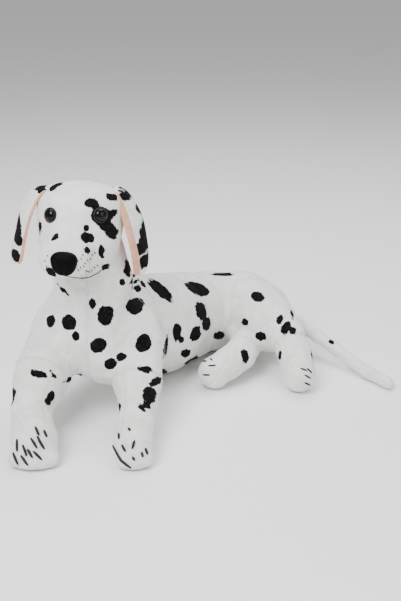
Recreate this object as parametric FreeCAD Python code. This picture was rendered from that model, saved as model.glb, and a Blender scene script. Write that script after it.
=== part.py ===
import FreeCAD, Part

import math
import os

# A lying plush dog: fabric covers round stuffing, sewn-on limbs, ears and tail.
# Millimetres. +Z is up, +X is the dog's left, -Y is where its chest and face look.
# The origin is the middle of the flat patch that the hips rest on.

V = FreeCAD.Vector
UP = V(0, 0, 1)
ACROSS = V(1, 0, 0)
DEPTH = V(0, 1, 0)

# Fabric and clearances
COVER = 2.0
EASE = 0.4
JOINT_GAP = 1.2
SWING_GAP = 4.0
HEAD_GAP = 2.0
THREAD = 0.8
THREAD_GAP = 0.05
SEAM_GAP = 0.3
RING_POINTS = 16
END_RING_ANGLES = (28, 52, 72, 86)
BIG = 1200.0

# Centre lines: x, y, z and radius of each station
TORSO = [
    (-216, -256, 130, 62),
    (-206, -216, 122, 68),
    (-172, -162, 104, 77),
    (-122, -108, 82, 80),
    (-86, -52, 73, 74),
    (-40, -6, 65, 67),
    (20, 10, 62, 64),
    (52, 4, 57, 54),
]
THIGH = [(36, -20, 72, 55), (64, -76, 70, 45), (82, -104, 68, 38)]
NECK_BASE = [(-213, -238, 150, 64), (-211, -246, 180, 61), (-210, -250, 205, 60)]
NECK_BASE_TOP = 199
NECK = [(-210, -250, 205, 52), (-210, -256, 232, 50), (-210, -262, 262, 47)]
HEAD = [
    (-220, -266, 302, 56),
    (-221, -280, 302, 57),
    (-224, -302, 297, 53),
    (-229, -330, 284, 43),
    (-232, -346, 278, 35),
]
RIGHT_FRONT_LEG = [
    (-262, -256, 112, 40),
    (-280, -312, 78, 39),
    (-290, -368, 45, 34),
    (-278, -406, 35, 36),
    (-274, -416, 34, 34),
]
LEFT_FRONT_LEG = [
    (-144, -258, 100, 38),
    (-140, -308, 70, 34),
    (-143, -362, 42, 30),
    (-145, -406, 30, 31),
    (-139, -428, 25, 26),
]
RIGHT_HIND_LEG = [
    (20, -60, 45, 24),
    (24, -104, 40, 24),
    (14, -142, 42, 25),
    (-6, -166, 36, 25),
    (-30, -180, 25, 26),
]
LEFT_HIND_LEG = [(92, -128, 66, 28), (101, -158, 46, 26), (106, -190, 24, 26)]
TAIL = [
    (90, -4, 60, 17),
    (118, -20, 46, 11),
    (150, -50, 35, 10),
    (174, -80, 27, 10),
    (197, -110, 18, 10),
    (222, -144, 9.5, 10),
    (248, -184, 9.5, 10),
]
TAIL_SPLIT = 3

# Where each limb starts, and how far it swings there, degrees
HEAD_PIVOT = V(-220, -272, 302)
HEAD_NOD = (-10, 0, 12)
LIFT_AXIS = V(-1, 0, 0)
TAIL_CURL_AXIS = V(-30, -23, 0).normalize()
FRONT_REACH = 90
HIND_REACH = 80
TAIL_REACH = 60
LEG_SWING = (-4, 16)
HIND_SWING = (-8, 8)
TAIL_SWING = (-20, 20)
TAIL_CURL = (0, 25)

# Ears: x and z down the middle of each flap, and the outline that both share
RIGHT_EAR = [(-263, 346), (-274, 346), (-287, 334), (-297, 310), (-303, 286), (-309, 262), (-314, 234)]
LEFT_EAR = [(-175, 344), (-164, 344), (-152, 332), (-145, 308), (-140, 284), (-136, 258), (-133, 234)]
EAR_HALF_WIDTHS = [(362, 17), (346, 20), (328, 26), (304, 31), (280, 31), (258, 26), (244, 16)]
EAR_TIP_HEIGHT = 238
EAR_LAYER = 3.0
EAR_BREADTH = 62.0
EAR_DEPTH = -264

# Face, as directions and distances from the middle of the skull
SKULL = V(-221, -280, 302)
RIGHT_EYE = V(-34, -40, 22).normalize()
LEFT_EYE = V(34, -40, 22).normalize()
EYE_DOME = 9.0
EYE_SINK = 4.2
EYE_POST = 2.0
EYE_POST_LENGTH = 13.0
EYE_ROOM_LENGTH = 18.0
WASHER_RADIUS = 9.0
WASHER_THICKNESS = 1.5
WASHER_GAP = 0.9
NOSE_CENTRE = V(-235, -373, 278)
NOSE_SIZE = (19.5, 11.0, 16.5)
FACE_NORMAL = V(1, -0.14, 0).normalize()

# Stitched lines: corner and size of the thin sheets that trace them
LINE_WIDTH = 1.2
CLOSING_SEAM = (V(-60, 30, 92), V(90, 60, LINE_WIDTH))
LIP_LINE = (V(-268, -400, 252), V(64, 34, LINE_WIDTH))
NOSE_LINE = (V(-236, -400, 247), V(LINE_WIDTH, 60, 14))
TOE_LINE_WIDTH = 1.4

# Planes that part the covers
FLANK_POINT = V(-160, -150, 0)
SPINE_POINT = V(-86, -56, 0)
BODY_AXIS = V(174, 150, 0).normalize()
BELLY_HEIGHT = 26
CHIN_HEIGHT = 258
FLOOR = 0.0


def ring(centre, along, width, height, reference):
    """Closed smooth ring square to a direction."""
    side = along.cross(reference).normalize()
    rise = side.cross(along).normalize()
    points = []
    for step in range(RING_POINTS):
        angle = 2 * math.pi * step / RING_POINTS
        points.append(centre + side * (width * math.cos(angle)) + rise * (height * math.sin(angle)))
    curve = Part.BSplineCurve()
    curve.interpolate(Points=points, PeriodicFlag=True)
    return Part.Wire(curve.toShape())


def end_rings(centre, outward, radius):
    """Places and sizes of the rings that close a tube with a half ball, from its rim to its pole."""
    rings = []
    for degrees in END_RING_ANGLES:
        angle = math.radians(degrees)
        place = centre + outward * (radius * math.sin(angle))
        size = radius * math.cos(angle)
        rings.append((place, size))
    return rings


def tube(stations, grow=0.0, reference=UP):
    """Solid with round ends along stations of x, y, z and radius."""
    centres = [V(*station[:3]) for station in stations]
    radii = [station[3] + grow for station in stations]
    last = len(centres) - 1
    tangents = []
    for index in range(last + 1):
        before = centres[max(index - 1, 0)]
        after = centres[min(index + 1, last)]
        tangents.append((after - before).normalize())
    rings = []
    for place, size in reversed(end_rings(centres[0], tangents[0] * -1, radii[0])):
        rings.append(ring(place, tangents[0], size, size, reference))
    for centre, tangent, radius in zip(centres, tangents, radii):
        rings.append(ring(centre, tangent, radius, radius, reference))
    for place, size in end_rings(centres[last], tangents[last], radii[last]):
        rings.append(ring(place, tangents[last], size, size, reference))
    return Part.makeLoft(rings, True)


def half_space(point, normal):
    """Big block on the side of a plane that its normal points to."""
    block = Part.makeBox(2 * BIG, 2 * BIG, BIG, V(-BIG, -BIG, 0))
    block.Placement = FreeCAD.Placement(point, FreeCAD.Rotation(UP, normal))
    return block


def above(shape, height):
    return shape.common(half_space(V(0, 0, height), UP))


def stuffing_of(stations, reference=UP):
    """The filling inside a cover, flat where the cover rests."""
    filling = tube(stations, -(COVER + EASE), reference)
    return above(filling, FLOOR + COVER + EASE)


def cover_of(stations, reference=UP):
    """Hollow fabric cover, flat where it rests."""
    outside = above(tube(stations, 0.0, reference), FLOOR)
    inside = above(tube(stations, -COVER, reference), FLOOR + COVER)
    return outside.cut(inside)


def thread_on(stations, slabs, reference=UP):
    """Threads that stand on a cover's surface where thin slabs cross it."""
    proud = tube(stations, THREAD, reference)
    bare = tube(stations, THREAD_GAP, reference)
    pieces = [proud.common(slab).cut(bare) for slab in slabs]
    return Part.makeCompound([solid for piece in pieces for solid in piece.Solids])


def halves(shape, point, normal):
    """The two sides of a shape, parted by a plane with a seam's gap."""
    first = shape.common(half_space(point + normal * (SEAM_GAP / 2), normal))
    second = shape.common(half_space(point - normal * (SEAM_GAP / 2), normal * -1))
    return first, second


def socket(stations, axis, swing, reach):
    """Room for a limb's round root, and a cone of room for the limb as it swings."""
    pivot = V(*stations[0][:3])
    radius = stations[0][3]
    low, high = swing
    along = (V(*stations[1][:3]) - pivot).normalize()
    middle = FreeCAD.Rotation(axis, (low + high) / 2).multVec(along)
    spread = reach * math.tan(math.radians((high - low) / 2 + 1))
    ball = Part.makeSphere(radius + JOINT_GAP, pivot)
    mouth = radius + SWING_GAP
    return ball.fuse(Part.makeCone(mouth, mouth + spread, reach, pivot, middle))


def sheet(corner_and_size):
    corner, size = corner_and_size
    return Part.makeBox(size.x, size.y, size.z, corner)


def cut_all(shape, tools):
    for tool in tools:
        if shape.BoundBox.intersect(tool.BoundBox):
            shape = shape.cut(tool)
    return shape


def torso_sockets():
    """Room in the torso for the neck, the legs and the tail."""
    neck_along = (V(*NECK[1][:3]) - V(*NECK[0][:3])).normalize()
    return [
        socket(NECK, neck_along, (0, 0), FRONT_REACH),
        socket(RIGHT_FRONT_LEG, LIFT_AXIS, LEG_SWING, FRONT_REACH),
        socket(LEFT_FRONT_LEG, LIFT_AXIS, LEG_SWING, FRONT_REACH),
        socket(RIGHT_HIND_LEG, UP, HIND_SWING, HIND_REACH),
        socket(LEFT_HIND_LEG, UP, HIND_SWING, HIND_REACH),
        socket(TAIL, UP, TAIL_SWING, TAIL_REACH),
    ]


def torso_nodes():
    """Chest, flank, belly and thigh covers, their stuffing and the closing seam."""
    sockets = torso_sockets()
    cover = cut_all(cover_of(TORSO), sockets)
    spine_normal = UP.cross(BODY_AXIS).normalize()
    rear, chest = halves(cover, FLANK_POINT, BODY_AXIS)
    chest_right, chest_left = halves(chest, V(*TORSO[0][:3]), ACROSS * -1)
    flanks, belly = halves(rear, V(0, 0, BELLY_HEIGHT), UP)
    right_flank, left_flank = halves(flanks, SPINE_POINT, spine_normal)
    filling = cut_all(stuffing_of(TORSO), sockets)
    beside_torso = tube(TORSO, SEAM_GAP)
    thigh_cover = cut_all(cover_of(THIGH).cut(beside_torso), sockets)
    thigh_filling = cut_all(stuffing_of(THIGH).cut(beside_torso), sockets)
    neck_tools = [beside_torso, half_space(V(0, 0, NECK_BASE_TOP), UP)] + sockets
    neck_base = cut_all(cover_of(NECK_BASE, ACROSS), neck_tools)
    neck_filling = cut_all(stuffing_of(NECK_BASE, ACROSS), neck_tools)
    return {
        "torso_stuffing": filling,
        "left_chest_panel": chest_left,
        "right_chest_panel": chest_right,
        "left_flank_panel": left_flank,
        "right_flank_panel": right_flank,
        "belly_panel": belly,
        "left_thigh_panel": thigh_cover,
        "left_thigh_stuffing": thigh_filling,
        "neck_base_cover": neck_base,
        "neck_base_stuffing": neck_filling,
        "closing_seam": thread_on(TORSO, [sheet(CLOSING_SEAM)]),
    }


def head_room():
    """Room over the neck for the back of the skull as the head nods."""
    rooms = [half_space(V(0, 0, HEAD_PIVOT.z), UP)]
    for degrees in HEAD_NOD:
        turn = FreeCAD.Rotation(LIFT_AXIS, degrees)
        for station in HEAD[:3]:
            middle = HEAD_PIVOT + turn.multVec(V(*station[:3]) - HEAD_PIVOT)
            rooms.append(Part.makeSphere(station[3] + HEAD_GAP, middle))
    return rooms


def neck_nodes():
    tools = head_room()
    return {
        "neck_cover": cut_all(cover_of(NECK, ACROSS), tools),
        "neck_stuffing": cut_all(stuffing_of(NECK, ACROSS), tools),
    }


def on_face(direction):
    """Place on the head in a direction from the middle of the skull, and the way out there."""
    head = tube(HEAD)
    inside = Part.makeLine(SKULL, SKULL + direction * BIG).common(head)
    place = SKULL + direction * inside.Length
    face_number, where = head.distToShape(Part.Vertex(place))[2][0][1:3]
    outward = head.Faces[face_number].normalAt(*where)
    if outward.dot(direction) < 0:
        outward = outward * -1
    return place, outward


def eye_nodes(side, place, direction):
    """Domed eye with its post, and the washer that locks it inside the cover."""
    surface = place + direction * SEAM_GAP
    dome = Part.makeSphere(EYE_DOME, surface - direction * EYE_SINK)
    dome = dome.common(half_space(surface, direction))
    post = Part.makeCylinder(EYE_POST, EYE_POST_LENGTH, surface, direction * -1)
    seat = surface - direction * (COVER + WASHER_GAP + SEAM_GAP + WASHER_THICKNESS)
    washer = Part.makeCylinder(WASHER_RADIUS, WASHER_THICKNESS, seat, direction)
    bore = Part.makeCylinder(EYE_POST + THREAD_GAP, EYE_POST_LENGTH, surface, direction * -1)
    return {f"{side}_eye": dome.fuse(post), f"{side}_eye_washer": washer.cut(bore)}


def eye_room(place, direction):
    """Hole through the cover for the post, and room in the stuffing for post and washer."""
    outside = place + direction * COVER
    hole = Part.makeCylinder(EYE_POST + SEAM_GAP, EYE_POST_LENGTH, outside, direction * -1)
    room = Part.makeCylinder(WASHER_RADIUS + EASE, EYE_ROOM_LENGTH, outside, direction * -1)
    return hole, room


def ellipsoid(centre, sizes):
    matrix = FreeCAD.Matrix()
    matrix.scale(*sizes)
    shape = Part.makeSphere(1.0).transformGeometry(matrix)
    shape.translate(centre)
    return shape


def head_nodes():
    """Face covers, chin, stuffing, nose, mouth thread and eyes."""
    cover = cover_of(HEAD)
    filling = stuffing_of(HEAD)
    right_eye = on_face(RIGHT_EYE)
    left_eye = on_face(LEFT_EYE)
    for eye in (right_eye, left_eye):
        hole, room = eye_room(*eye)
        cover = cover.cut(hole)
        filling = filling.cut(room)
    upper, chin = halves(cover, V(0, 0, CHIN_HEIGHT), UP)
    left, right = halves(upper, SKULL, FACE_NORMAL)
    nodes = {
        "left_face_panel": left,
        "right_face_panel": right,
        "chin_panel": chin,
        "head_stuffing": filling,
        "nose": ellipsoid(NOSE_CENTRE, NOSE_SIZE).cut(tube(HEAD, SEAM_GAP)),
        "mouth_thread": thread_on(HEAD, [sheet(NOSE_LINE), sheet(LIP_LINE)]),
    }
    nodes.update(eye_nodes("right", *right_eye))
    nodes.update(eye_nodes("left", *left_eye))
    return nodes


def smooth_edge(points):
    curve = Part.BSplineCurve()
    curve.interpolate(points)
    return curve.toShape()


def ear_outline():
    """Block whose front-to-back outline is that of an ear flap."""
    back = [V(-BIG, EAR_DEPTH + half, height) for height, half in EAR_HALF_WIDTHS]
    front = [V(-BIG, EAR_DEPTH - half, height) for height, half in reversed(EAR_HALF_WIDTHS)]
    round_edge = smooth_edge(back + [V(-BIG, EAR_DEPTH, EAR_TIP_HEIGHT)] + front)
    top_edge = Part.makeLine(front[-1], back[0])
    return Part.Face(Part.Wire([round_edge, top_edge])).extrude(ACROSS * (2 * BIG))


def ear_layer(line, outward, offset):
    """One fabric layer of an ear flap, beside the flap's middle surface."""
    centres = [V(x, EAR_DEPTH - 2 * EAR_BREADTH, z) for x, z in line]
    inner = []
    outer = []
    last = len(centres) - 1
    for index, centre in enumerate(centres):
        along = (centres[min(index + 1, last)] - centres[max(index - 1, 0)]).normalize()
        across = along.cross(DEPTH) * outward
        inner.append(centre + across * (offset - EAR_LAYER / 2))
        outer.append(centre + across * (offset + EAR_LAYER / 2))
    tip_edge = Part.makeLine(inner[-1], outer[-1])
    root_edge = Part.makeLine(outer[0], inner[0])
    wire = Part.Wire([smooth_edge(inner), tip_edge, smooth_edge(outer[::-1]), root_edge])
    return Part.Face(wire).extrude(DEPTH * (4 * EAR_BREADTH)).common(ear_outline())


def ear_nodes(side, line, outward):
    apart = EAR_LAYER / 2 + THREAD_GAP
    return {
        f"{side}_ear_back": ear_layer(line, outward, apart),
        f"{side}_ear_lining": ear_layer(line, outward, -apart),
    }


def toe_slabs(paw, ahead, spread, count):
    """Thin upright sheets along a paw, where its toe lines are stitched."""
    slabs = []
    start = V(*paw[:3])
    radius = paw[3]
    sideways = UP.cross(ahead).normalize()
    for index in range(count):
        offset = (index - (count - 1) / 2) * spread
        corner = V(radius * 0.25, -TOE_LINE_WIDTH / 2, -radius * 0.35)
        slab = Part.makeBox(radius * 1.6, TOE_LINE_WIDTH, radius * 1.5, corner)
        slab.Placement = FreeCAD.Placement(start + sideways * offset, FreeCAD.Rotation(ACROSS, ahead))
        slabs.append(slab)
    return slabs


def limb_nodes(name, stations, part_normal, toe_count):
    """A sewn limb: two cover panels, its stuffing and its stitched toes."""
    pivot = V(*stations[0][:3])
    paw = stations[-1]
    first, second = halves(cover_of(stations), pivot, part_normal)
    ahead = V(*paw[:3]) - V(*stations[-2][:3])
    ahead.z = 0
    slabs = toe_slabs(paw, ahead.normalize(), paw[3] * 0.42, toe_count)
    return {
        f"{name}_outer_panel": first,
        f"{name}_inner_panel": second,
        f"{name}_stuffing": stuffing_of(stations),
        f"{name}_toe_threads": thread_on(stations, slabs),
    }


def tail_nodes():
    """Tail base and tail end, with a round joint between them."""
    base = TAIL[:TAIL_SPLIT + 1]
    end = TAIL[TAIL_SPLIT:]
    room = socket(end, TAIL_CURL_AXIS, TAIL_CURL, 40)
    return {
        "tail_base_cover": cover_of(base).cut(room),
        "tail_base_stuffing": stuffing_of(base).cut(room),
        "tail_end_cover": cover_of(end),
        "tail_end_stuffing": stuffing_of(end),
    }


def build():
    nodes = {}
    nodes.update(torso_nodes())
    nodes.update(neck_nodes())
    nodes.update(head_nodes())
    nodes.update(ear_nodes("right", RIGHT_EAR, -1))
    nodes.update(ear_nodes("left", LEFT_EAR, 1))
    nodes.update(limb_nodes("left_front_leg", LEFT_FRONT_LEG, ACROSS, 3))
    nodes.update(limb_nodes("right_front_leg", RIGHT_FRONT_LEG, ACROSS * -1, 4))
    nodes.update(limb_nodes("left_hind_leg", LEFT_HIND_LEG, ACROSS, 3))
    nodes.update(limb_nodes("right_hind_leg", RIGHT_HIND_LEG, UP, 3))
    nodes.update(tail_nodes())
    return nodes


def main():
    os.makedirs("parts", exist_ok=True)
    for name, shape in build().items():
        shape.exportStep(f"parts/{name}.step")
        box = shape.BoundBox
        sound = "sound" if shape.isValid() else "UNSOUND"
        low = f"{box.XMin:.0f} {box.YMin:.0f} {box.ZMin:.1f}"
        high = f"{box.XMax:.0f} {box.YMax:.0f} {box.ZMax:.0f}"
        print(name, sound, len(shape.Solids), f"{shape.Volume / 1000:.1f} cm3", low, "to", high)


main()
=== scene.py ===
import math

import bpy
import numpy as np
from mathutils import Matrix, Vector, kdtree
from mathutils.bvhtree import BVHTree


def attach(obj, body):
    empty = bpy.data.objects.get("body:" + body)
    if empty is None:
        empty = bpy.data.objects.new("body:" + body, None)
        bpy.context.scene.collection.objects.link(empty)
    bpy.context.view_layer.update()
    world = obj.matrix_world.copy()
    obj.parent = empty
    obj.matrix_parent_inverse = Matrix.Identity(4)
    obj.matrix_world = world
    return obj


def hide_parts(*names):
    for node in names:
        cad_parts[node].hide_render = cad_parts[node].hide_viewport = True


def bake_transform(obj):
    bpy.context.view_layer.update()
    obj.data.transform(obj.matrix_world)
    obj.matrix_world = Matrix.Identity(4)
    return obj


# A lying plush dog with black spots: sewn pile covers over filling.
# Shapes are given in millimetres in the part's own frame: +X is the dog's left, -Y is the way
# that its chest and face look, +Z is up. Meshes are made in metres.

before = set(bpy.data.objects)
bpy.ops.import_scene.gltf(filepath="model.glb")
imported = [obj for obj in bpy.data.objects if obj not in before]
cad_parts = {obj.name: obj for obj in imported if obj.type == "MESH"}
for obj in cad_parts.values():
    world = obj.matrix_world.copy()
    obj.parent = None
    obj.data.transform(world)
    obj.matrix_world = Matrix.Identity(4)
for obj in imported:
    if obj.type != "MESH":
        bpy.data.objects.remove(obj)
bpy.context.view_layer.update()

MM = 0.001  # metres in a millimetre
FINE = 2.5  # lattice step of the skin
COARSE = 5.5  # lattice step of the cloth that fills it out
CLOTH_FRAMES = 20
CLOTH_PRESSURE = 4
HIDDEN_SPOT_SPACING = 46
HIDDEN_SPOT_SEED = 5
EYE_RADIUS = 9.2
EYE_HEIGHT = 6.4
# The black ring round each eye is partly its own black rim and partly painted shade round the socket, so it
# is made thick.
RIM_RADIUS = 9.7
RIM_THICKNESS = 1.3


# ---- Shape of the filled body, as round-ended tubes of stations (x, y, z, radius) and as balls
SKULL = np.array([-222.0, -275.0, 302.0])
HEAD_YAW = math.radians(12)
HEAD_AHEAD = np.array([-math.sin(HEAD_YAW), -math.cos(HEAD_YAW), 0.0])
HEAD_LEFT = np.array([math.cos(HEAD_YAW), -math.sin(HEAD_YAW), 0.0])
UP = np.array([0.0, 0.0, 1.0])


def on_head(left, ahead, up):
    """A place in the head, measured from the middle of the skull."""
    return SKULL + HEAD_LEFT * left + HEAD_AHEAD * ahead + UP * up


def tube(*stations):
    return {"kind": "tube", "stations": [np.array(s, float) for s in stations]}


def ball(centre, sizes, axes=None):
    axes = np.eye(3) if axes is None else np.array(axes)
    return {"kind": "ball", "centre": np.array(centre, float), "sizes": np.array(sizes, float), "axes": axes}


def head_ball(left, ahead, up, sizes):
    return ball(on_head(left, ahead, up), sizes, [HEAD_LEFT, HEAD_AHEAD, UP])


def head_tube(*stations):
    return tube(*[(*on_head(*s[:3]), s[3]) for s in stations])


def toes(paw, ahead, radius, spread, count):
    """Small balls side by side at the front of a paw."""
    ahead = np.array([*ahead, 0.0]) / math.hypot(*ahead)
    side = np.array([-ahead[1], ahead[0], 0.0])
    lumps = []
    for index in range(count):
        across = (index - (count - 1) / 2) * spread
        reach = paw[3] - radius * 0.55 - abs(across) ** 2 / (paw[3] * 2.2)
        centre = np.array(paw[:3]) + ahead * reach + side * across
        centre[2] = radius * 1.05
        lumps.append(ball(centre, (radius, radius, radius)))
    return lumps


RIGHT_PAW = (-279, -420, 33, 33)
LEFT_PAW = (-143, -423, 28, 28)
RIGHT_HIND_PAW = (-28, -179, 26, 26)
LEFT_HIND_PAW = (106, -190, 25, 26)

GROUPS = {
    "torso": {
        "blend": 16,
        "lumps": [
            tube(
                (-216, -254, 126, 64), (-206, -216, 120, 68), (-172, -162, 104, 76), (-122, -108, 82, 80),
                (-86, -52, 73, 74), (-40, -6, 66, 67), (20, 10, 63, 65), (54, 4, 58, 54),
            ),
            ball((-258, -246, 128), (40, 46, 46)),
            ball((-152, -250, 118), (42, 46, 50)),
            ball((-184, -278, 92), (50, 40, 38)),
        ],
    },
    "thigh": {"blend": 12, "lumps": [tube((36, -20, 72, 55), (64, -76, 70, 45), (82, -104, 68, 37))]},
    "neck": {
        "blend": 14,
        "lumps": [tube((-212, -240, 150, 60), (-207, -250, 205, 56), (-208, -258, 250, 48))],
    },
    "head": {
        "blend": 16,
        "lumps": [
            head_ball(0, -8, 2, (61, 60, 54)),
            head_ball(0, 16, 17, (46, 38, 36)),
            head_ball(-36, -6, 28, (22, 24, 20)),
            head_ball(36, -6, 28, (22, 24, 20)),
            head_ball(-25, 20, -20, (25, 34, 27)),
            head_ball(32, 18, -22, (28, 36, 28)),
            head_tube((0, 22, -12, 38), (0, 52, -24, 31)),
            head_ball(0, 64, -31, (31, 28, 23)),
            head_ball(-15, 70, -37, (18, 20, 17)),
            head_ball(15, 70, -37, (18, 20, 17)),
            head_ball(0, 58, -46, (20, 24, 12)),
        ],
    },
    "right_front_leg": {
        "blend": 12,
        "lumps": [
            tube(
                (-262, -256, 112, 42), (-279, -312, 84, 40), (-283, -330, 72, 36), (-290, -366, 50, 27),
                (-285, -392, 40, 28), RIGHT_PAW,
            ),
            *toes(RIGHT_PAW, (0.05, -1), 13, 15, 4),
        ],
    },
    "left_front_leg": {
        "blend": 12,
        "lumps": [
            tube(
                (-144, -258, 100, 40), (-142, -308, 70, 35), (-139, -350, 50, 27), (-142, -386, 36, 25),
                LEFT_PAW,
            ),
            *toes(LEFT_PAW, (0.2, -1), 12, 14, 3),
        ],
    },
    "right_hind_leg": {
        "blend": 10,
        "lumps": [
            tube(
                (20, -60, 45, 24), (24, -104, 40, 24), (14, -142, 42, 25), (-6, -166, 36, 24),
                RIGHT_HIND_PAW,
            ),
        ],
    },
    "left_hind_leg": {"blend": 10, "lumps": [tube((92, -128, 66, 29), (101, -158, 46, 26), LEFT_HIND_PAW)]},
    "tail": {
        "blend": 8,
        "lumps": [
            tube(
                (90, -4, 60, 18), (118, -20, 46, 11.5), (150, -50, 35, 10), (174, -80, 27, 10),
                (197, -110, 18, 10), (222, -144, 10, 10), (248, -184, 10, 10),
            ),
        ],
    },
}
JOIN = {
    "torso": 1, "thigh": 14, "neck": 22, "head": 12, "right_front_leg": 12, "left_front_leg": 12,
    "right_hind_leg": 8, "left_hind_leg": 8, "tail": 8,
}


# ---- Distance fields
def cone_distance(points, start, end):
    """Distance to a round-ended cone between two stations."""
    a, ra = start[:3], start[3]
    b, rb = end[:3], end[3]
    ba = b - a
    length2 = ba @ ba
    taper = ra - rb
    a2 = length2 - taper * taper
    inverse = 1.0 / length2
    pa = points - a
    y = pa @ ba
    z = y - length2
    off = pa * length2 - y[..., None] * ba
    x2 = np.einsum("...i,...i->...", off, off)
    y2 = y * y * length2
    z2 = z * z * length2
    k = np.sign(taper) * taper * taper * x2
    side = (np.sqrt(x2 * a2 * inverse) + y * taper) * inverse - ra
    past_end = np.sign(z) * a2 * z2 > k
    before_start = np.sign(y) * a2 * y2 < k
    result = np.where(before_start, np.sqrt(x2 + y2) * inverse - ra, side)
    return np.where(past_end, np.sqrt(x2 + z2) * inverse - rb, result)


def ball_distance(points, lump):
    local = (points - lump["centre"]) @ lump["axes"].T
    scaled = local / lump["sizes"]
    k0 = np.sqrt(np.einsum("...i,...i->...", scaled, scaled)) + 1e-9
    twice = scaled / lump["sizes"]
    k1 = np.sqrt(np.einsum("...i,...i->...", twice, twice)) + 1e-9
    return k0 * (k0 - 1.0) / k1


def soft_min(a, b, k):
    h = np.clip(0.5 + 0.5 * (b - a) / k, 0.0, 1.0)
    return b * (1 - h) + a * h - k * h * (1 - h)


def group_distance(points, name):
    group = GROUPS[name]
    total = None
    for lump in group["lumps"]:
        if lump["kind"] == "tube":
            stations = lump["stations"]
            distance = None
            for start, end in zip(stations[:-1], stations[1:]):
                piece = cone_distance(points, start, end)
                distance = piece if distance is None else soft_min(distance, piece, 8)
        else:
            distance = ball_distance(points, lump)
        total = distance if total is None else soft_min(total, distance, group["blend"])
    return total


def group_box(name, margin):
    low = np.full(3, 1e9)
    high = np.full(3, -1e9)
    for lump in GROUPS[name]["lumps"]:
        if lump["kind"] == "tube":
            for s in lump["stations"]:
                low = np.minimum(low, s[:3] - s[3])
                high = np.maximum(high, s[:3] + s[3])
        else:
            reach = lump["sizes"].max()
            low = np.minimum(low, lump["centre"] - reach)
            high = np.maximum(high, lump["centre"] + reach)
    return low - margin, high + margin


def body_field(step):
    """Lattice of distances to the whole filled skin, and the place of its first point."""
    boxes = [group_box(name, 12) for name in GROUPS]
    low = np.min([b[0] for b in boxes], axis=0)
    low[2] = -3 * step
    high = np.max([b[1] for b in boxes], axis=0)
    counts = np.ceil((high - low) / step).astype(int) + 1
    values = np.full(counts, 50.0, np.float32)
    for name in GROUPS:
        near, far = group_box(name, 26)
        first = np.clip(np.floor((near - low) / step).astype(int), 0, counts - 1)
        last = np.clip(np.ceil((far - low) / step).astype(int) + 1, 1, counts)
        axes = [low[i] + step * np.arange(first[i], last[i]) for i in range(3)]
        window = tuple(slice(first[i], last[i]) for i in range(3))
        points = np.stack(np.meshgrid(*axes, indexing="ij"), axis=-1)
        distance = group_distance(points, name)
        values[window] = soft_min(values[window], distance, JOIN[name])
    heights = low[2] + step * np.arange(counts[2])
    floor = np.broadcast_to(-heights, values.shape)
    values = -soft_min(-values, -floor, 5.0)
    return values, low


def surface_nets(values, low, step):
    """Quad mesh of the surface where the lattice changes sign."""
    inside = values < 0
    cells = np.array(values.shape) - 1
    weights = np.zeros(np.prod(cells))
    sums = np.zeros((np.prod(cells), 3))
    crossings = []
    for axis in range(3):
        lower = [slice(None)] * 3
        upper = [slice(None)] * 3
        lower[axis] = slice(0, -1)
        upper[axis] = slice(1, None)
        index = np.argwhere(inside[tuple(lower)] != inside[tuple(upper)])
        v0 = values[tuple(index.T)]
        nxt = index.copy()
        nxt[:, axis] += 1
        v1 = values[tuple(nxt.T)]
        place = index.astype(float)
        place[:, axis] += v0 / (v0 - v1)
        others = [i for i in range(3) if i != axis]
        corners = []
        valid = np.ones(len(index), bool)
        for du, dv in ((1, 1), (0, 1), (0, 0), (1, 0)):
            cell = index.copy()
            cell[:, others[0]] -= du
            cell[:, others[1]] -= dv
            good = np.all((cell >= 0) & (cell < cells), axis=1)
            valid &= good
            flat = np.ravel_multi_index(np.clip(cell, 0, cells - 1).T, cells)
            corners.append(flat)
            weights += np.bincount(flat[good], minlength=len(weights))
            for i in range(3):
                sums[:, i] += np.bincount(flat[good], place[good, i], len(weights))
        outward = inside[tuple(index.T)] if axis != 1 else ~inside[tuple(index.T)]
        quads = np.stack(corners, axis=1)[valid]
        outward = outward[valid]
        quads[~outward] = quads[~outward][:, ::-1]
        crossings.append(quads)
    used = np.nonzero(weights)[0]
    number = np.full(len(weights), -1)
    number[used] = np.arange(len(used))
    points = low + step * (sums[used] / weights[used][:, None])
    return points, number[np.concatenate(crossings)]


def smooth(points, quads, rounds, amount):
    """Evens out a mesh without shrinking it: each relaxing step is followed by one back."""
    edges = np.concatenate([quads[:, [i, (i + 1) % 4]] for i in range(4)])
    edges = np.unique(np.sort(edges, axis=1), axis=0)
    count = np.bincount(edges.ravel(), minlength=len(points)).astype(float)
    for _ in range(rounds):
        for push in (amount, -amount * 1.04):
            total = np.zeros_like(points)
            for axis in range(3):
                total[:, axis] = np.bincount(edges[:, 0], points[edges[:, 1], axis], len(points))
                total[:, axis] += np.bincount(edges[:, 1], points[edges[:, 0], axis], len(points))
            points = points + push * (total / count[:, None] - points)
    return points


def vertex_normals(points, quads):
    corners = points[quads]
    flat = np.cross(corners[:, 2] - corners[:, 0], corners[:, 3] - corners[:, 1])
    total = np.zeros_like(points)
    for corner in range(4):
        for axis in range(3):
            total[:, axis] += np.bincount(quads[:, corner], flat[:, axis], len(points))
    return total / (np.linalg.norm(total, axis=1)[:, None] + 1e-12)


def nearest_group(points):
    """For each point, the number of the group whose surface is nearest, and all the distances."""
    distances = np.stack([group_distance(points, name) for name in GROUPS], axis=1)
    return np.argmin(distances, axis=1), distances


def mesh_object(name, points, faces):
    mesh = bpy.data.meshes.new(name)
    mesh.from_pydata((np.asarray(points) * MM).tolist(), [], [list(face) for face in faces])
    mesh.polygons.foreach_set("use_smooth", [True] * len(mesh.polygons))
    mesh.update()
    obj = bpy.data.objects.new(name, mesh)
    bpy.context.scene.collection.objects.link(obj)
    return obj


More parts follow.
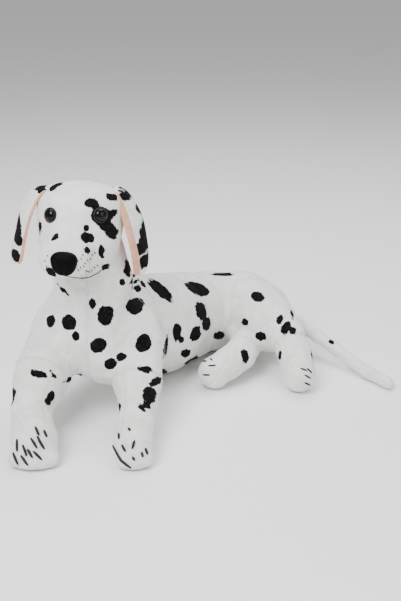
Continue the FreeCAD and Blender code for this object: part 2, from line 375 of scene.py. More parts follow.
def ring_faces(rings, sides):
    """Faces between rings of points, and then the two end faces."""
    faces = []
    for ring in range(rings - 1):
        for step in range(sides):
            a = ring * sides + step
            b = ring * sides + (step + 1) % sides
            faces.append((a, b, b + sides, a + sides))
    faces.append(tuple(range(sides))[::-1])
    faces.append(tuple(range((rings - 1) * sides, rings * sides)))
    return faces


def covered(name, points, faces, material):
    """A piece with its material, and its places at rest for the material to follow."""
    obj = mesh_object(name, points, faces)
    add_attribute(obj, "rest", np.array(points) * MM)
    obj.data.materials.append(material)
    return obj


def add_attribute(obj, name, values):
    values = np.asarray(values, np.float32)
    kind, field = ("FLOAT_VECTOR", "vector") if values.ndim == 2 else ("FLOAT", "value")
    attribute = obj.data.attributes.new(name, kind, "POINT")
    attribute.data.foreach_set(field, values.ravel())


# ---- Filling out: the cover as cloth with pressure inside
def puffed(points, quads, held):
    """The cover after it has been blown out a little, with its seams held."""
    cloth_object = mesh_object("cover_cloth", points, quads)
    group = cloth_object.vertex_groups.new(name="held")
    group.add(np.nonzero(held)[0].tolist(), 1.0, "REPLACE")
    cloth = cloth_object.modifiers.new("cloth", "CLOTH")
    settings = cloth.settings
    settings.quality = 5
    settings.mass = 0.25
    settings.tension_stiffness = 12
    settings.compression_stiffness = 12
    settings.shear_stiffness = 6
    settings.bending_stiffness = 0.4
    settings.use_pressure = True
    settings.uniform_pressure_force = CLOTH_PRESSURE
    settings.shrink_min = -0.012
    settings.vertex_group_mass = "held"
    settings.effector_weights.gravity = 0
    cloth.point_cache.frame_start = 1
    cloth.point_cache.frame_end = CLOTH_FRAMES
    for number in range(1, CLOTH_FRAMES + 1):
        bpy.context.scene.frame_set(number)
    shaped = cloth_object.evaluated_get(bpy.context.evaluated_depsgraph_get())
    result = np.empty(len(points) * 3, np.float32)
    shaped.data.vertices.foreach_get("co", result)
    bpy.context.scene.frame_set(1)
    bpy.data.objects.remove(cloth_object)
    return result.reshape(-1, 3) / MM


def filling_shift(points):
    """How far each point of the cover moves when the filling presses it out, in millimetres."""
    values, low = body_field(COARSE)
    coarse, quads = surface_nets(values + 1.5, low, COARSE)
    group, distances = nearest_group(coarse)
    held = (seam_depth(coarse, group, distances) > 0.35) | (coarse[:, 2] < 4)
    shift = puffed(coarse, quads, held) - coarse
    normals = vertex_normals(coarse, quads)
    out = np.einsum("ij,ij->i", shift, normals)
    slide = shift - out[:, None] * normals
    out = np.clip(out - np.median(out), -2.0, 3.5)
    slide *= np.minimum(1, 1.5 / (np.linalg.norm(slide, axis=1) + 1e-9))[:, None]
    shift = slide * 0.5 + out[:, None] * normals
    tree = kdtree.KDTree(len(coarse))
    for index, place in enumerate(coarse):
        tree.insert(place, index)
    tree.balance()
    result = np.empty_like(points)
    for index, place in enumerate(points):
        near = tree.find_n(place, 4)
        weights = np.array([1 / (hit[2] + 0.8) ** 2 for hit in near])
        result[index] = weights @ shift[[hit[1] for hit in near]] / weights.sum()
    return result


# ---- Seams
TILT = math.radians(20)
VIEW_BACK = np.array([0, -math.cos(TILT), math.sin(TILT)])
VIEW_UP = np.array([0, math.sin(TILT), math.cos(TILT)])

BODY_AXIS = np.array([0.757, 0.653, 0.0])
BODY_LEFT = np.array([0.653, -0.757, 0.0])
FLANK_POINT = np.array([-160, -150, 0])
SPINE_POINT = np.array([-86, -56, 0])
CHEST_POINT = np.array([-213.5, -318, 0])
CHEST_LEFT = np.array([0.979, -0.204, 0.0])
BELLY_HEIGHT = 26
CHIN_DROP = -44
NECK_FOOT = 172
NECK_CUT = 197
NECK_SPLIT = 231
TAIL_POINT = np.array([174, -80, 27])
TAIL_WAY = np.array([0.62, -0.78, -0.2])

# For each leg: a point on its root seam, the way that it leaves the body, and its outer side.
LEGS = {
    "right_front_leg": ((-279, -313, 78), (-0.2, -0.85, -0.48), (-0.8, 0.6)),
    "left_front_leg": ((-140, -312, 68), (0.02, -0.87, -0.49), (0.8, 0.6)),
    "right_hind_leg": ((23, -84, 42), (0.09, -0.99, -0.1), (-0.8, 0.6)),
    "left_hind_leg": ((95, -138, 59), (0.25, -0.8, -0.55), (0.8, 0.6)),
}


def past_root(points, leg):
    return (points - np.array(LEGS[leg][0])) @ np.array(LEGS[leg][1])


def outer_side(points, leg):
    """Distance to the surface that parts the outer half of a leg's cover from the inner half."""
    stations = np.array(sorted(GROUPS[leg]["lumps"][0]["stations"], key=lambda station: station[1]))
    middle_x = np.interp(points[:, 1], stations[:, 1], stations[:, 0])
    middle_z = np.interp(points[:, 1], stations[:, 1], stations[:, 2])
    across, up = LEGS[leg][2]
    return (points[:, 0] - middle_x) * across + (points[:, 2] - middle_z) * up


def seam_depth(points, group, distances):
    """Depth of the sewn lines at each point, in millimetres. Its value, up to 1, also sets how much painted
    shade darkens the pile along them.
    """
    names = list(GROUPS)
    along = (points - FLANK_POINT) @ BODY_AXIS
    in_torso = group == names.index("torso")
    in_neck = group == names.index("neck")
    in_thigh = group == names.index("thigh")
    in_head = group == names.index("head")
    chest = (points - CHEST_POINT) @ CHEST_LEFT
    spine = (points - SPINE_POINT) @ BODY_LEFT
    head_side = (points - SKULL) @ HEAD_LEFT
    head_ahead = (points - SKULL) @ HEAD_AHEAD
    lines = [
        (chest, (in_torso & (along < 0)) | in_neck, 1.3),
        (along, in_torso, 1.3),
        (spine, in_torso & (along > 0) & (points[:, 2] > 30), 0.7),
        (distances[:, names.index("thigh")] - distances[:, names.index("torso")], in_torso | in_thigh, 1.4),
        (head_side, in_head & (head_ahead < -10), 0.8),
        (points[:, 2] - BELLY_HEIGHT, in_torso & (along > 0), 0.5),
        (points[:, 0] + 251, in_torso & (points[:, 1] < -250) & (points[:, 2] < 106), 1.0),
    ]
    for leg in LEGS:
        in_leg = group == names.index(leg)
        lines.append((past_root(points, leg), in_leg, 1.6))
        lines.append((outer_side(points, leg), in_leg & (past_root(points, leg) > 0), 0.8))
    depth = np.zeros(len(points))
    for distance, where, deep in lines:
        depth = np.maximum(depth, np.where(where, deep * np.exp(-((distance / 2.6) ** 2)), 0))
    return depth


# ---- Spots: (across, height, half width, half height, turn in degrees), seen from the front and 20
# degrees above, in millimetres
SPOTS = {
    "head": [
        (-199, 210, 9.6, 6.8, -10), (-186, 193, 13.2, 12.8, 0), (-172, 199, 7.5, 4.1, 20),
        (-183, 180, 6.2, 6.2, 0), (-174, 174, 7.7, 11.6, 10), (-206, 176, 3.8, 3.8, 0),
        (-204, 163, 8.4, 7.5, -20), (-204, 145, 3.4, 5.7, 10), (-186, 144, 3.6, 7.4, 0),
        (-184, 125, 5, 2.8, 30), (-163, 144, 1.7, 5.3, -25), (-247, 164, 3.6, 6.4, -35),
        (-273, 180, 2.5, 8.3, 5), (-253, 115, 5.4, 7.6, 30), (-253, 236, 10.5, 4.2, 30),
        (-173, 220, 7.5, 5, -30),
    ],
    "neck": [
        (-156, 124, 4.4, 11.2, 0), (-163, 104, 4.3, 4.6, -20), (-146, 96, 5.2, 5.2, 0),
        (-184, 125, 5, 2.8, 30), (-150, 107, 1.9, 4.6, -35), (-139, 104, 5.3, 1.9, -50),
        (-248, 93, 9.3, 1.7, -42),
    ],
    "torso": [
        (-204, 72, 4.9, 7.1, 0), (-187, 56, 10.1, 14, -20), (-147, 70, 11.8, 11.8, 0),
        (-268, 48, 6.7, 8.4, -10), (-239, 46, 10.8, 10.8, 0), (-229, 27, 5.6, 6, -20),
        (-197, 13, 11.2, 11.2, 0), (-180, -14, 8.2, 8.2, 0), (-164, -3, 7, 5.8, 20),
        (-133, 16, 11.4, 13.7, -20), (-235, -36, 8.9, 3, 20), (-112, 93, 23.4, 7.8, -40),
        (-55, 97, 19.6, 9.8, -22), (-14, 123, 15.4, 3.1, 0), (-50, 61, 8.3, 14.7, 12),
        (-41, 40, 7.1, 10.7, -10), (-87, 28, 6.9, 12.5, -5), (-81, 17, 5, 5, 0),
        (-58, 25, 8.3, 12.6, -20), (-19, 20, 8.7, 7.2, 10), (-74, -6, 7.9, 7, 25),
        (-103, 10, 2.3, 14, -8), (-65, -22, 11.7, 4.7, 25), (-114, -39, 9.7, 5.2, 20),
        (44, 84, 10.6, 8.9, -20), (24, 42, 4.9, 5.3, 0), (48, 19, 8, 7.5, 0), (79, 48, 4.8, 7.4, -30),
        (100, 56, 2.6, 6.5, 0), (86, 34, 6.4, 11.3, -30), (97, 31, 7.1, 5.5, -40),
    ],
    "left_hind_leg": [(76, -8, 2.2, 6, 0), (129, -8, 2.2, 6.7, 0)],
    "right_hind_leg": [(21, -11, 5.7, 11.8, 10)],
    "tail": [(169, 8, 4.7, 3.3, -30)],
    "right_front_leg": [
        (-279, -26, 11.3, 5.1, -15), (-259, -27, 1.7, 5, 35), (-318, -59, 5.5, 11.4, -10),
        (-262, -60, 4.8, 10.4, -20),
    ],
    "left_front_leg": [
        (-129, -21, 9.2, 4.3, -12), (-122, -56, 8.8, 11.9, 25), (-132, -71, 5.6, 2.8, -40),
        (-126, -68, 6.2, 3.1, -40), (-165, -73, 1.7, 5.6, 0),
    ],
}
HIDDEN_GROUPS = ("torso", "thigh", "neck", "head")


def spot_distance(across, height, spots):
    """Distance to the nearest spot edge, below zero inside a spot."""
    nearest = np.full(len(across), 60.0)
    for u, v, half_width, half_height, turn in spots:
        c, s = math.cos(math.radians(turn)), math.sin(math.radians(turn))
        x = ((across - u) * c + (height - v) * s) / half_width
        y = (-(across - u) * s + (height - v) * c) / half_height
        nearest = np.minimum(nearest, (np.hypot(x, y) - 1) * min(half_width, half_height))
    return nearest


def hidden_spots(points, usable):
    """Spots on the side turned away from the front, scattered evenly: centre and radius."""
    chance = np.random.default_rng(HIDDEN_SPOT_SEED)
    order = chance.permutation(np.nonzero(usable)[0])
    chosen = []
    for index in order[:4000]:
        if all(np.linalg.norm(points[index] - place) > HIDDEN_SPOT_SPACING for place, _ in chosen):
            chosen.append((points[index], chance.uniform(5, 13)))
    return chosen


def spot_field(points, normals, group):
    names = list(GROUPS)
    across = points[:, 0]
    height = points @ VIEW_UP
    facing = normals @ VIEW_BACK
    field = np.full(len(points), 60.0)
    for name, spots in SPOTS.items():
        head = group == names.index("head")
        on = (head if name == "head" else ~head) & (facing > 0.02)
        field[on] = np.minimum(field[on], spot_distance(across[on], height[on], spots))
    away = facing < -0.03
    usable = (facing < -0.2) & np.isin(group, [names.index(n) for n in HIDDEN_GROUPS]) & (points[:, 2] > 34)
    for centre, radius in hidden_spots(points, usable):
        offset = points[away] - centre
        offset[:, 0] *= 1.25
        field[away] = np.minimum(field[away], np.linalg.norm(offset, axis=1) - radius)
    return field


# ---- Materials
class Graph:
    """A material and the few kinds of nodes that it is made of."""

    def __init__(self, name):
        self.material = bpy.data.materials.new(name)
        self.material.use_nodes = True
        self.tree = self.material.node_tree
        self.tree.nodes.clear()
        self.shader = self.tree.nodes.new("ShaderNodeBsdfPrincipled")
        output = self.tree.nodes.new("ShaderNodeOutputMaterial")
        self.tree.links.new(self.shader.outputs["BSDF"], output.inputs["Surface"])
        rest = self.tree.nodes.new("ShaderNodeAttribute")
        rest.attribute_name = "rest"
        self.rest = rest.outputs["Vector"]

    def use_object_coordinates(self):
        self.rest = self.tree.nodes.new("ShaderNodeTexCoord").outputs["Object"]

    def link(self, value, socket):
        if isinstance(value, (int, float)):
            socket.default_value = value
        elif isinstance(value, tuple):
            socket.default_value = (*value, 1)[:len(socket.default_value)]
        else:
            self.tree.links.new(value, socket)

    def set(self, **inputs):
        for name, value in inputs.items():
            self.link(value, self.shader.inputs[name.replace("_", " ")])

    def number(self, name):
        node = self.tree.nodes.new("ShaderNodeAttribute")
        node.attribute_name = name
        return node.outputs["Fac"]

    def math(self, operation, a, b=0.0):
        node = self.tree.nodes.new("ShaderNodeMath")
        node.operation = operation
        self.link(a, node.inputs[0])
        self.link(b, node.inputs[1])
        return node.outputs[0]

    def stretch(self, scale):
        node = self.tree.nodes.new("ShaderNodeVectorMath")
        node.operation = "MULTIPLY"
        self.link(self.rest, node.inputs[0])
        node.inputs[1].default_value = scale
        return node.outputs[0]

    def noise(self, scale, detail=3.0, stretch=None):
        node = self.tree.nodes.new("ShaderNodeTexNoise")
        self.link(self.stretch(stretch) if stretch else self.rest, node.inputs["Vector"])
        node.inputs["Scale"].default_value = scale
        node.inputs["Detail"].default_value = detail
        return node.outputs["Fac"]

    def voronoi(self, scale, stretch=None):
        node = self.tree.nodes.new("ShaderNodeTexVoronoi")
        self.link(self.stretch(stretch) if stretch else self.rest, node.inputs["Vector"])
        node.inputs["Scale"].default_value = scale
        return node.outputs["Distance"]

    def spread(self, value, low, high, to_low=0.0, to_high=1.0):
        node = self.tree.nodes.new("ShaderNodeMapRange")
        for socket, amount in zip(node.inputs[:5], (value, low, high, to_low, to_high)):
            self.link(amount, socket)
        return node.outputs[0]

    def mix(self, share, first, second):
        node = self.tree.nodes.new("ShaderNodeMix")
        node.data_type = "RGBA"
        self.link(share, node.inputs["Factor"])
        colours = [socket for socket in node.inputs if socket.type == "RGBA"]
        self.link(first, colours[0])
        self.link(second, colours[1])
        return [socket for socket in node.outputs if socket.type == "RGBA"][0]

    def bump(self, height, distance, strength=1.0):
        node = self.tree.nodes.new("ShaderNodeBump")
        self.link(height, node.inputs["Height"])
        node.inputs["Distance"].default_value = distance
        node.inputs["Strength"].default_value = strength
        self.link(node.outputs["Normal"], self.shader.inputs["Normal"])


def pile_height(graph):
    """Short pile: fine leaning hairs over soft tufts."""
    hairs = graph.noise(620, 2.0, (1.0, 0.8, 0.42))
    tufts = graph.noise(150, 3.0, (1.0, 1.0, 0.7))
    return graph.math("ADD", graph.math("MULTIPLY", hairs, 0.55), graph.math("MULTIPLY", tufts, 0.6))


def spotted_pile():
    graph = Graph("spotted_plush")
    ragged = graph.spread(graph.noise(110, 3.0), 0.3, 0.7, -1.8, 0.9)
    hairs = graph.spread(graph.noise(700, 2.0, (1.0, 1.0, 0.5)), 0.3, 0.7, -0.5, 0.4)
    edge = graph.math("ADD", graph.number("spot"), graph.math("ADD", ragged, hairs))
    black = graph.spread(edge, 0.45, -0.45)
    tone = graph.spread(graph.noise(45, 5.0), 0.32, 0.68)
    white = graph.mix(tone, (0.71, 0.705, 0.685), (0.85, 0.848, 0.835))
    white = graph.mix(graph.spread(graph.noise(380, 2.0, (1.0, 0.8, 0.5)), 0.3, 0.62, 0.3, 0.0),
                      white, (0.5, 0.5, 0.49))
    # Painted shade: the white pile is darkened along the seam grooves, as much as the seam attribute says.
    white = graph.mix(graph.math("MULTIPLY", graph.number("seam"), 0.22), white, (0.42, 0.42, 0.41))
    dark = graph.mix(graph.spread(graph.noise(500, 2.0, (1.0, 0.8, 0.5)), 0.45, 0.8), (0.003, 0.003, 0.0035),
                     (0.014, 0.014, 0.016))
    graph.set(Base_Color=graph.mix(black, white, dark), Roughness=0.92)
    graph.set(Specular_IOR_Level=0.06)
    graph.set(Sheen_Weight=graph.spread(black, 0, 1, 0.2, 0.01), Sheen_Roughness=0.45)
    graph.bump(pile_height(graph), 0.0011, 0.7)
    return graph.material


def lining():
    graph = Graph("ear_lining_fabric")
    tone = graph.spread(graph.noise(60, 4.0), 0.3, 0.7)
    colour = graph.mix(tone, (0.60, 0.29, 0.17), (0.74, 0.42, 0.28))
    weave = graph.voronoi(900)
    graph.set(Base_Color=graph.mix(graph.spread(weave, 0.1, 0.7, 0.0, 0.25), colour, (0.45, 0.2, 0.13)))
    graph.set(Roughness=0.85, Sheen_Weight=0.35, Sheen_Roughness=0.5)
    graph.bump(graph.math("ADD", weave, graph.noise(350, 3.0)), 0.0006, 0.6)
    return graph.material


def nose_fabric():
    graph = Graph("nose_fabric")
    hairs = graph.noise(700, 2.0, (1.0, 0.8, 0.5))
    black = graph.mix(graph.spread(hairs, 0.45, 0.8), (0.001, 0.001, 0.001), (0.006, 0.006, 0.006))
    graph.set(Base_Color=black)
    graph.set(Specular_IOR_Level=0.05)
    graph.set(Roughness=0.6, Sheen_Weight=0.01, Sheen_Roughness=0.35)
    graph.bump(pile_height(graph), 0.001, 0.7)
    return graph.material


def thread_material(name, low, high):
    graph = Graph(name)
    twist = graph.noise(1400, 2.0, (1.0, 0.6, 0.6))
    graph.set(Base_Color=graph.mix(graph.spread(twist, 0.3, 0.7), low, high), Roughness=0.6)
    graph.set(Specular_IOR_Level=0.2)
    graph.bump(twist, 0.0003, 0.6)
    return graph.material


def eye_plastic():
    graph = Graph("eye_plastic")
    across = graph.number("radius")
    streaks = graph.noise(420, 3.0)
    brown = graph.mix(graph.spread(streaks, 0.35, 0.7), (0.002, 0.001, 0.001), (0.007, 0.003, 0.002))
    ring = graph.math("MULTIPLY", graph.spread(across, 0.42, 0.5), graph.spread(across, 0.8, 0.7))
    graph.set(Base_Color=graph.mix(ring, (0.003, 0.003, 0.003), brown))
    graph.set(Roughness=graph.spread(graph.noise(70), 0.3, 0.7, 0.05, 0.11))
    graph.set(Specular_IOR_Level=0.2)
    graph.bump(graph.noise(90, 2.0), 0.00008, 0.3)
    return graph.material


def washer_plastic():
    graph = Graph("lock_washer")
    graph.use_object_coordinates()
    grey = graph.mix(graph.noise(120, 3.0), (0.6, 0.6, 0.58), (0.78, 0.78, 0.76))
    graph.set(Base_Color=grey, Roughness=0.42)
    graph.bump(graph.noise(500, 3.0), 0.0002, 0.4)
    return graph.material


def floor_material():
    graph = Graph("floor")
    graph.use_object_coordinates()
    pale = graph.mix(graph.noise(3, 2.0), (0.92, 0.92, 0.92), (0.94, 0.94, 0.94))
    graph.set(Base_Color=pale, Roughness=0.9)
    return graph.material


# ---- The skin, cut into its sewn pieces
STUFFED = {
    "chest_left": ("torso", ("left_chest_panel",)),
    "chest_right": ("torso", ("right_chest_panel",)),
    "flank_left": ("torso", ("left_flank_panel", "torso_stuffing")),
    "flank_right": ("torso", ("right_flank_panel",)),
    "belly": ("torso", ("belly_panel",)),
    "thigh": ("torso", ("left_thigh_panel", "left_thigh_stuffing")),
    "neck_foot": ("torso", ("neck_base_cover", "neck_base_stuffing")),
    "neck_lower": (("torso", "neck"), ("neck_cover",)),
    "neck_upper": (("neck", "head"), ("neck_stuffing",)),
    "face_left": ("head", ("left_face_panel", "head_stuffing")),
    "face_right": ("head", ("right_face_panel",)),
    "chin": ("head", ("chin_panel",)),
    "tail_root": (("torso", "tail_base"), ("tail_base_cover", "tail_base_stuffing")),
    "tail_tip": (("tail_base", "tail_end"), ("tail_end_cover", "tail_end_stuffing")),
}
for leg_name in LEGS:
    STUFFED[leg_name + "_outer"] = (("torso", leg_name), (leg_name + "_outer_panel", leg_name + "_stuffing"))
    STUFFED[leg_name + "_inner"] = (("torso", leg_name), (leg_name + "_inner_panel",))
BEND_LENGTH = {"right_front_leg": 42, "left_front_leg": 42, "right_hind_leg": 26, "left_hind_leg": 24}


def piece_of(centres, group):
    """Name of the sewn piece that each face of the skin belongs to."""
    names = list(GROUPS)
    along = (centres - FLANK_POINT) @ BODY_AXIS
    left = (centres - SPINE_POINT) @ BODY_LEFT > 0
    chest_left = (centres - CHEST_POINT) @ CHEST_LEFT > 0
    z = centres[:, 2]
    piece = np.where(left, "flank_left", "flank_right").astype("U32")
    front = along < 0
    piece[front] = np.where(chest_left[front], "chest_left", "chest_right")
    piece[~front & (z < BELLY_HEIGHT)] = "belly"
    piece[group == names.index("thigh")] = "thigh"
    neck = np.isin(group, [names.index("neck"), names.index("torso")]) & (centres[:, 0] < -130)
    piece[(group == names.index("neck")) & (z >= NECK_FOOT)] = "neck_foot"
    piece[neck & (z >= NECK_CUT)] = "neck_lower"
    piece[neck & (z >= NECK_SPLIT)] = "neck_upper"
    head = group == names.index("head")
    side = (centres - SKULL) @ HEAD_LEFT > 0
    piece[head] = np.where(side[head], "face_left", "face_right")
    piece[head & (z < SKULL[2] + CHIN_DROP)] = "chin"
    tail = group == names.index("tail")
    tip = (centres - TAIL_POINT) @ TAIL_WAY > 0
    piece[tail] = np.where(tip[tail], "tail_tip", "tail_root")
    for leg in LEGS:
        mine = (group == names.index(leg)) & (past_root(centres, leg) > 0)
        outer = outer_side(centres, leg) > 0
        piece[mine] = np.where(outer[mine], leg + "_outer", leg + "_inner")
    return piece


def cut_skin(skin, piece):
    """One object for each piece, with the shading of the uncut skin."""
    objects = {}
    for name in STUFFED:
        quads = skin["quads"][piece == name]
        used, local = np.unique(quads, return_inverse=True)
        obj = mesh_object(name, skin["points"][used], local.reshape(-1, 4))
        for attribute in ("rest", "spot", "seam"):
            add_attribute(obj, attribute, skin[attribute][used])
        obj.data.normals_split_custom_set_from_vertices(skin["normals"][used].tolist())
        obj.data.materials.append(skin["material"])
        objects[name] = (obj, used)
    return objects


def span(skin, ids, way):
    reach = skin["points"][ids] @ way
    return reach.min(), reach.max()


def join_to_bodies(skin, objects):
    """Each piece on a single body rides on it. A piece that crosses a joint gets its bend line worked out,
    but the line is not used, and the piece stays where it is, on no body.
    """
    holders = {}
    for name, (_, used) in objects.items():
        for index in used:
            holders.setdefault(index, []).append(name)

    def shared(name, others):
        return [i for i in objects[name][1] if any(o in others for o in holders[i])]

    fixed = [name for name, (bodies, _) in STUFFED.items() if bodies == "torso"]
    for name, (bodies, nodes) in STUFFED.items():
        obj = objects[name][0]
        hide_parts(*nodes)
        if isinstance(bodies, str):
            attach(obj, bodies)
        else:
            start, end = bend_line(skin, name, shared, fixed)
            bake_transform(obj)


def bend_line(skin, name, shared, fixed):
    """Two places between which a piece that crosses a joint turns from one body to the next."""
    if name == "neck_lower":
        low = span(skin, shared(name, fixed), UP)[1]
        return np.array([-210, -250, low + 1.0]), np.array([-210, -250, NECK_SPLIT - 3.0])
    if name == "neck_upper":
        high = span(skin, shared(name, ("face_left", "face_right", "chin")), UP)[0]
        start, end = NECK_SPLIT + 3.0, max(high - 1.0, NECK_SPLIT + 6)
        return np.array([-210, -256, start]), np.array([-210, -256, end])
    if name == "tail_tip":
        return TAIL_POINT + TAIL_WAY * 3.0, TAIL_POINT + TAIL_WAY * 26.0
    if name == "tail_root":
        near = span(skin, shared(name, fixed), TAIL_WAY)[1] - TAIL_POINT @ TAIL_WAY
        return TAIL_POINT + TAIL_WAY * (near + 1.0), TAIL_POINT - TAIL_WAY * 4.0
    leg = name.rsplit("_", 1)[0]
    point, way = np.array(LEGS[leg][0], float), np.array(LEGS[leg][1])
    way = way / np.linalg.norm(way)
    near = max(span(skin, shared(leg + part, fixed), way)[1] for part in ("_outer", "_inner")) - point @ way
    return point + way * (near + 1.0), point + way * (near + 1.0 + BEND_LENGTH[leg])


def make_skin():
    values, low = body_field(FINE)
    points, quads = surface_nets(values, low, FINE)
    points = smooth(points, quads, 3, 0.5)
    rest = points.copy()
    points = points + filling_shift(points)
    points = smooth(points, quads, 3, 0.5)
    points[:, 2] = np.maximum(points[:, 2], 0.0)
    normals = vertex_normals(points, quads)
    group, distances = nearest_group(rest)
    seam = seam_depth(rest, group, distances)
    spot = spot_field(rest, normals, group)
    points = points - normals * seam[:, None]
    return {
        "points": points, "quads": quads, "normals": vertex_normals(points, quads), "group": group,
        # The seam attribute, clipped to 1, sets the painted shade in the seam grooves.
        "rest": rest * MM, "spot": spot, "seam": np.clip(seam, 0, 1), "material": spotted_pile(),
    }


# ---- Things on the skin
def on_skin(tree, across, height):
    """Where a line of sight from the front, 20 degrees above, first meets the skin."""
    start = Vector(VIEW_BACK * 900 + VIEW_UP * height + np.array([across, 0, 0]))
    place, normal, _, _ = tree.ray_cast(start, Vector(-VIEW_BACK))
    return (np.array(place), np.array(normal)) if place else None


def tube_mesh(line, radii, sides=8):
    """Points and faces of a round cord along a line, with closed ends."""
    line = np.array(line)
    ways = np.gradient(line, axis=0)
    ways /= np.linalg.norm(ways, axis=1)[:, None] + 1e-9
    points = []
    side = np.cross(ways[0], [0.3, 0.2, 0.93])
    for place, way, radius in zip(line, ways, radii):
        side = side - way * (side @ way)
        side /= np.linalg.norm(side)
        other = np.cross(way, side)
        for step in range(sides):
            angle = 2 * math.pi * step / sides
            points.append(place + radius * (side * math.cos(angle) + other * math.sin(angle)))
    return points, ring_faces(len(line), sides)


def stitched(name, tree, strokes, radius, material, sink=0.3):
    """Threads laid on the skin along strokes, which are lists of (across, height) places."""
    points, faces = [], []
    for stroke in strokes:
        stroke = np.array(stroke, float)
        steps = max(4, int(np.linalg.norm(np.diff(stroke, axis=0), axis=1).sum() / 1.2))
        share = np.linspace(0, len(stroke) - 1, steps)
        across = np.interp(share, range(len(stroke)), stroke[:, 0])
        height = np.interp(share, range(len(stroke)), stroke[:, 1])
        hits = [on_skin(tree, u, v) for u, v in zip(across, height)]
        line = [place + normal * (radius - sink) for place, normal in (h for h in hits if h)]
        if len(line) < 3:
            continue
        ends = np.sin(np.linspace(0.25, math.pi - 0.25, len(line))) ** 0.4
        more, loops = tube_mesh(line, radius * ends)
        faces += [tuple(i + len(points) for i in loop) for loop in loops]
        points += more
    obj = covered(name, points, faces, material)
    return obj


TOE_STROKES = {
    "right_front_leg": [
        [(-297, -109), (-297, -126)], [(-273, -93), (-268, -104)], [(-262, -98), (-258, -107)],
        [(-289, -116), (-284, -132)], [(-278, -107), (-270, -121)], [(-270, -105), (-261, -123)],
        [(-303, -128), (-296, -143)], [(-292, -131), (-282, -144)], [(-275, -125), (-264, -137)],
        [(-283, -122), (-276, -134)],
    ],
    "left_front_leg": [
        [(-161, -103), (-160, -110)], [(-148, -96), (-145, -99)], [(-156, -117), (-151, -126)],
        [(-139, -111), (-142, -122)], [(-125, -122), (-122, -131)], [(-130, -127), (-128, -134)],
        [(-142, -133), (-139, -138)], [(-169, -120), (-157, -138), (-144, -148)],
    ],
    "right_hind_leg": [
        [(-48, -19), (-40, -18)], [(-35, -14), (-31, -17)], [(-38, -25), (-26, -24)],
        [(-46, -39), (-35, -39)],
    ],
    "left_hind_leg": [
        [(106, -28), (116, -32)], [(116, -28), (124, -36)], [(112, -38), (122, -44)],
        [(112, -50), (122, -55)],
    ],
}
WHISKERS = [
    (-209, 139), (-211, 134), (-215, 131), (-198, 140), (-200, 134), (-203, 132), (-206, 128), (-195, 127),
    (-199, 124), (-203, 120), (-206, 118), (-212, 122), (-215, 119), (-195, 143), (-208, 124), (-260, 131),
    (-256, 138), (-258, 124),
]
MOUTH = [(-236, 112), (-228, 110), (-216, 109), (-206, 111), (-194, 117), (-184, 126)]
EYES = {"right": (-255.5, 194.5), "left": (-187.0, 194.5)}


def make_stitches(tree, threads):
    for leg, strokes in TOE_STROKES.items():
        radius = 2.0 if "front" in leg else 1.4
        obj = stitched(leg + "_toe_stitches", tree, strokes, radius, threads, radius * 0.55)
        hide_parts(leg + "_toe_threads")
        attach(obj, leg)
    mouth = stitched("mouth_stitch", tree, [MOUTH], 0.7, threads)
    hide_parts("mouth_thread")
    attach(mouth, "head")
    dots = [[(u - 0.8, v + 1.1), (u, v), (u + 0.8, v - 1.1)] for u, v in WHISKERS]
    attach(stitched("whisker_stitches", tree, dots, 0.75, threads, 0.3), "head")


def closing_stitches(tree):
    """The ladder of stitches under the belly, where the cover was closed after filling."""
    points, faces = [], []
    for step in range(13):
        middle = np.array([-96.0, -70.0, -40]) + BODY_AXIS * step * 8
        line = []
        for reach in np.linspace(-3, 3, 7):
            start = Vector(middle + BODY_LEFT * reach + BODY_AXIS * reach * 0.4)
            place, normal, _, _ = tree.ray_cast(start, Vector((0, 0, 1)))
            if place:
                line.append(np.array(place) + np.array([0, 0, 0.35]))
        if len(line) < 3:
            continue
        more, loops = tube_mesh(line, [0.45] * len(line), 6)
        faces += [tuple(i + len(points) for i in loop) for loop in loops]
        points += more
    white = thread_material("white_thread", (0.7, 0.7, 0.68), (0.85, 0.85, 0.83))
    obj = covered("closing_stitches", points, faces, white)
    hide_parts("closing_seam")
    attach(obj, "torso")


def frame_along(way):
    way = way / np.linalg.norm(way)
    side = np.cross(UP, way)
    side /= np.linalg.norm(side)
    return side, np.cross(way, side), way


def turned(name, profile, origin, axes, material, sides=48):
    """A shape turned around its third axis from a profile of (radius, height)."""
    side, top, way = axes
    points, radii = [], []
    for radius, height in profile:
        for step in range(sides):
            angle = 2 * math.pi * step / sides
            points.append(origin + radius * (side * math.cos(angle) + top * math.sin(angle)) + way * height)
            radii.append(radius)
    obj = covered(name, points, ring_faces(len(profile), sides), material)
    add_attribute(obj, "radius", np.array(radii) / EYE_RADIUS)
    return obj


def make_washer(side, place, axes, plastic):
    """The lock washer that holds an eye's post, inside the filling."""
    profile = [(8.5, -9.0), (9.0, -8.4), (9.0, -7.8), (8.5, -7.2), (4.0, -7.0), (2.6, -6.2), (2.2, -6.2)]
    washer = turned("eye_washer_" + side, profile, place, axes, plastic)
    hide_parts(side + "_eye_washer")
    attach(washer, "head")


def make_eyes(tree, threads):
    plastic = eye_plastic()
    washer = washer_plastic()
    for side, (across, height) in EYES.items():
        place, normal = on_skin(tree, across, height)
        axes = frame_along(normal + HEAD_AHEAD * 0.25)
        profile = [(8.8, -4.0), (EYE_RADIUS, -1.5)]
        for angle in np.linspace(0, math.pi / 2 - 0.03, 18):
            profile.append((EYE_RADIUS * math.cos(angle), EYE_HEIGHT * math.sin(angle) ** 0.9))
        eye = turned("eye_" + side, profile, place + axes[2] * 0.4, axes, plastic)
        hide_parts(side + "_eye")
        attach(eye, "head")
        make_washer(side, place, axes, washer)
        # Black ring round the eye: the eye's own black rim, made thick to also stand for painted shade round
        # the eye socket.
        lid = []
        for angle in np.linspace(0, 2 * math.pi, 49)[:-1]:
            around = axes[0] * math.cos(angle) + axes[1] * math.sin(angle)
            lid.append(place + RIM_RADIUS * around + axes[2] * 0.3)
        line = lid + lid[:2]
        rim = covered("eye_rim_" + side, *tube_mesh(line, [RIM_THICKNESS] * len(line)), threads)
        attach(rim, "head")


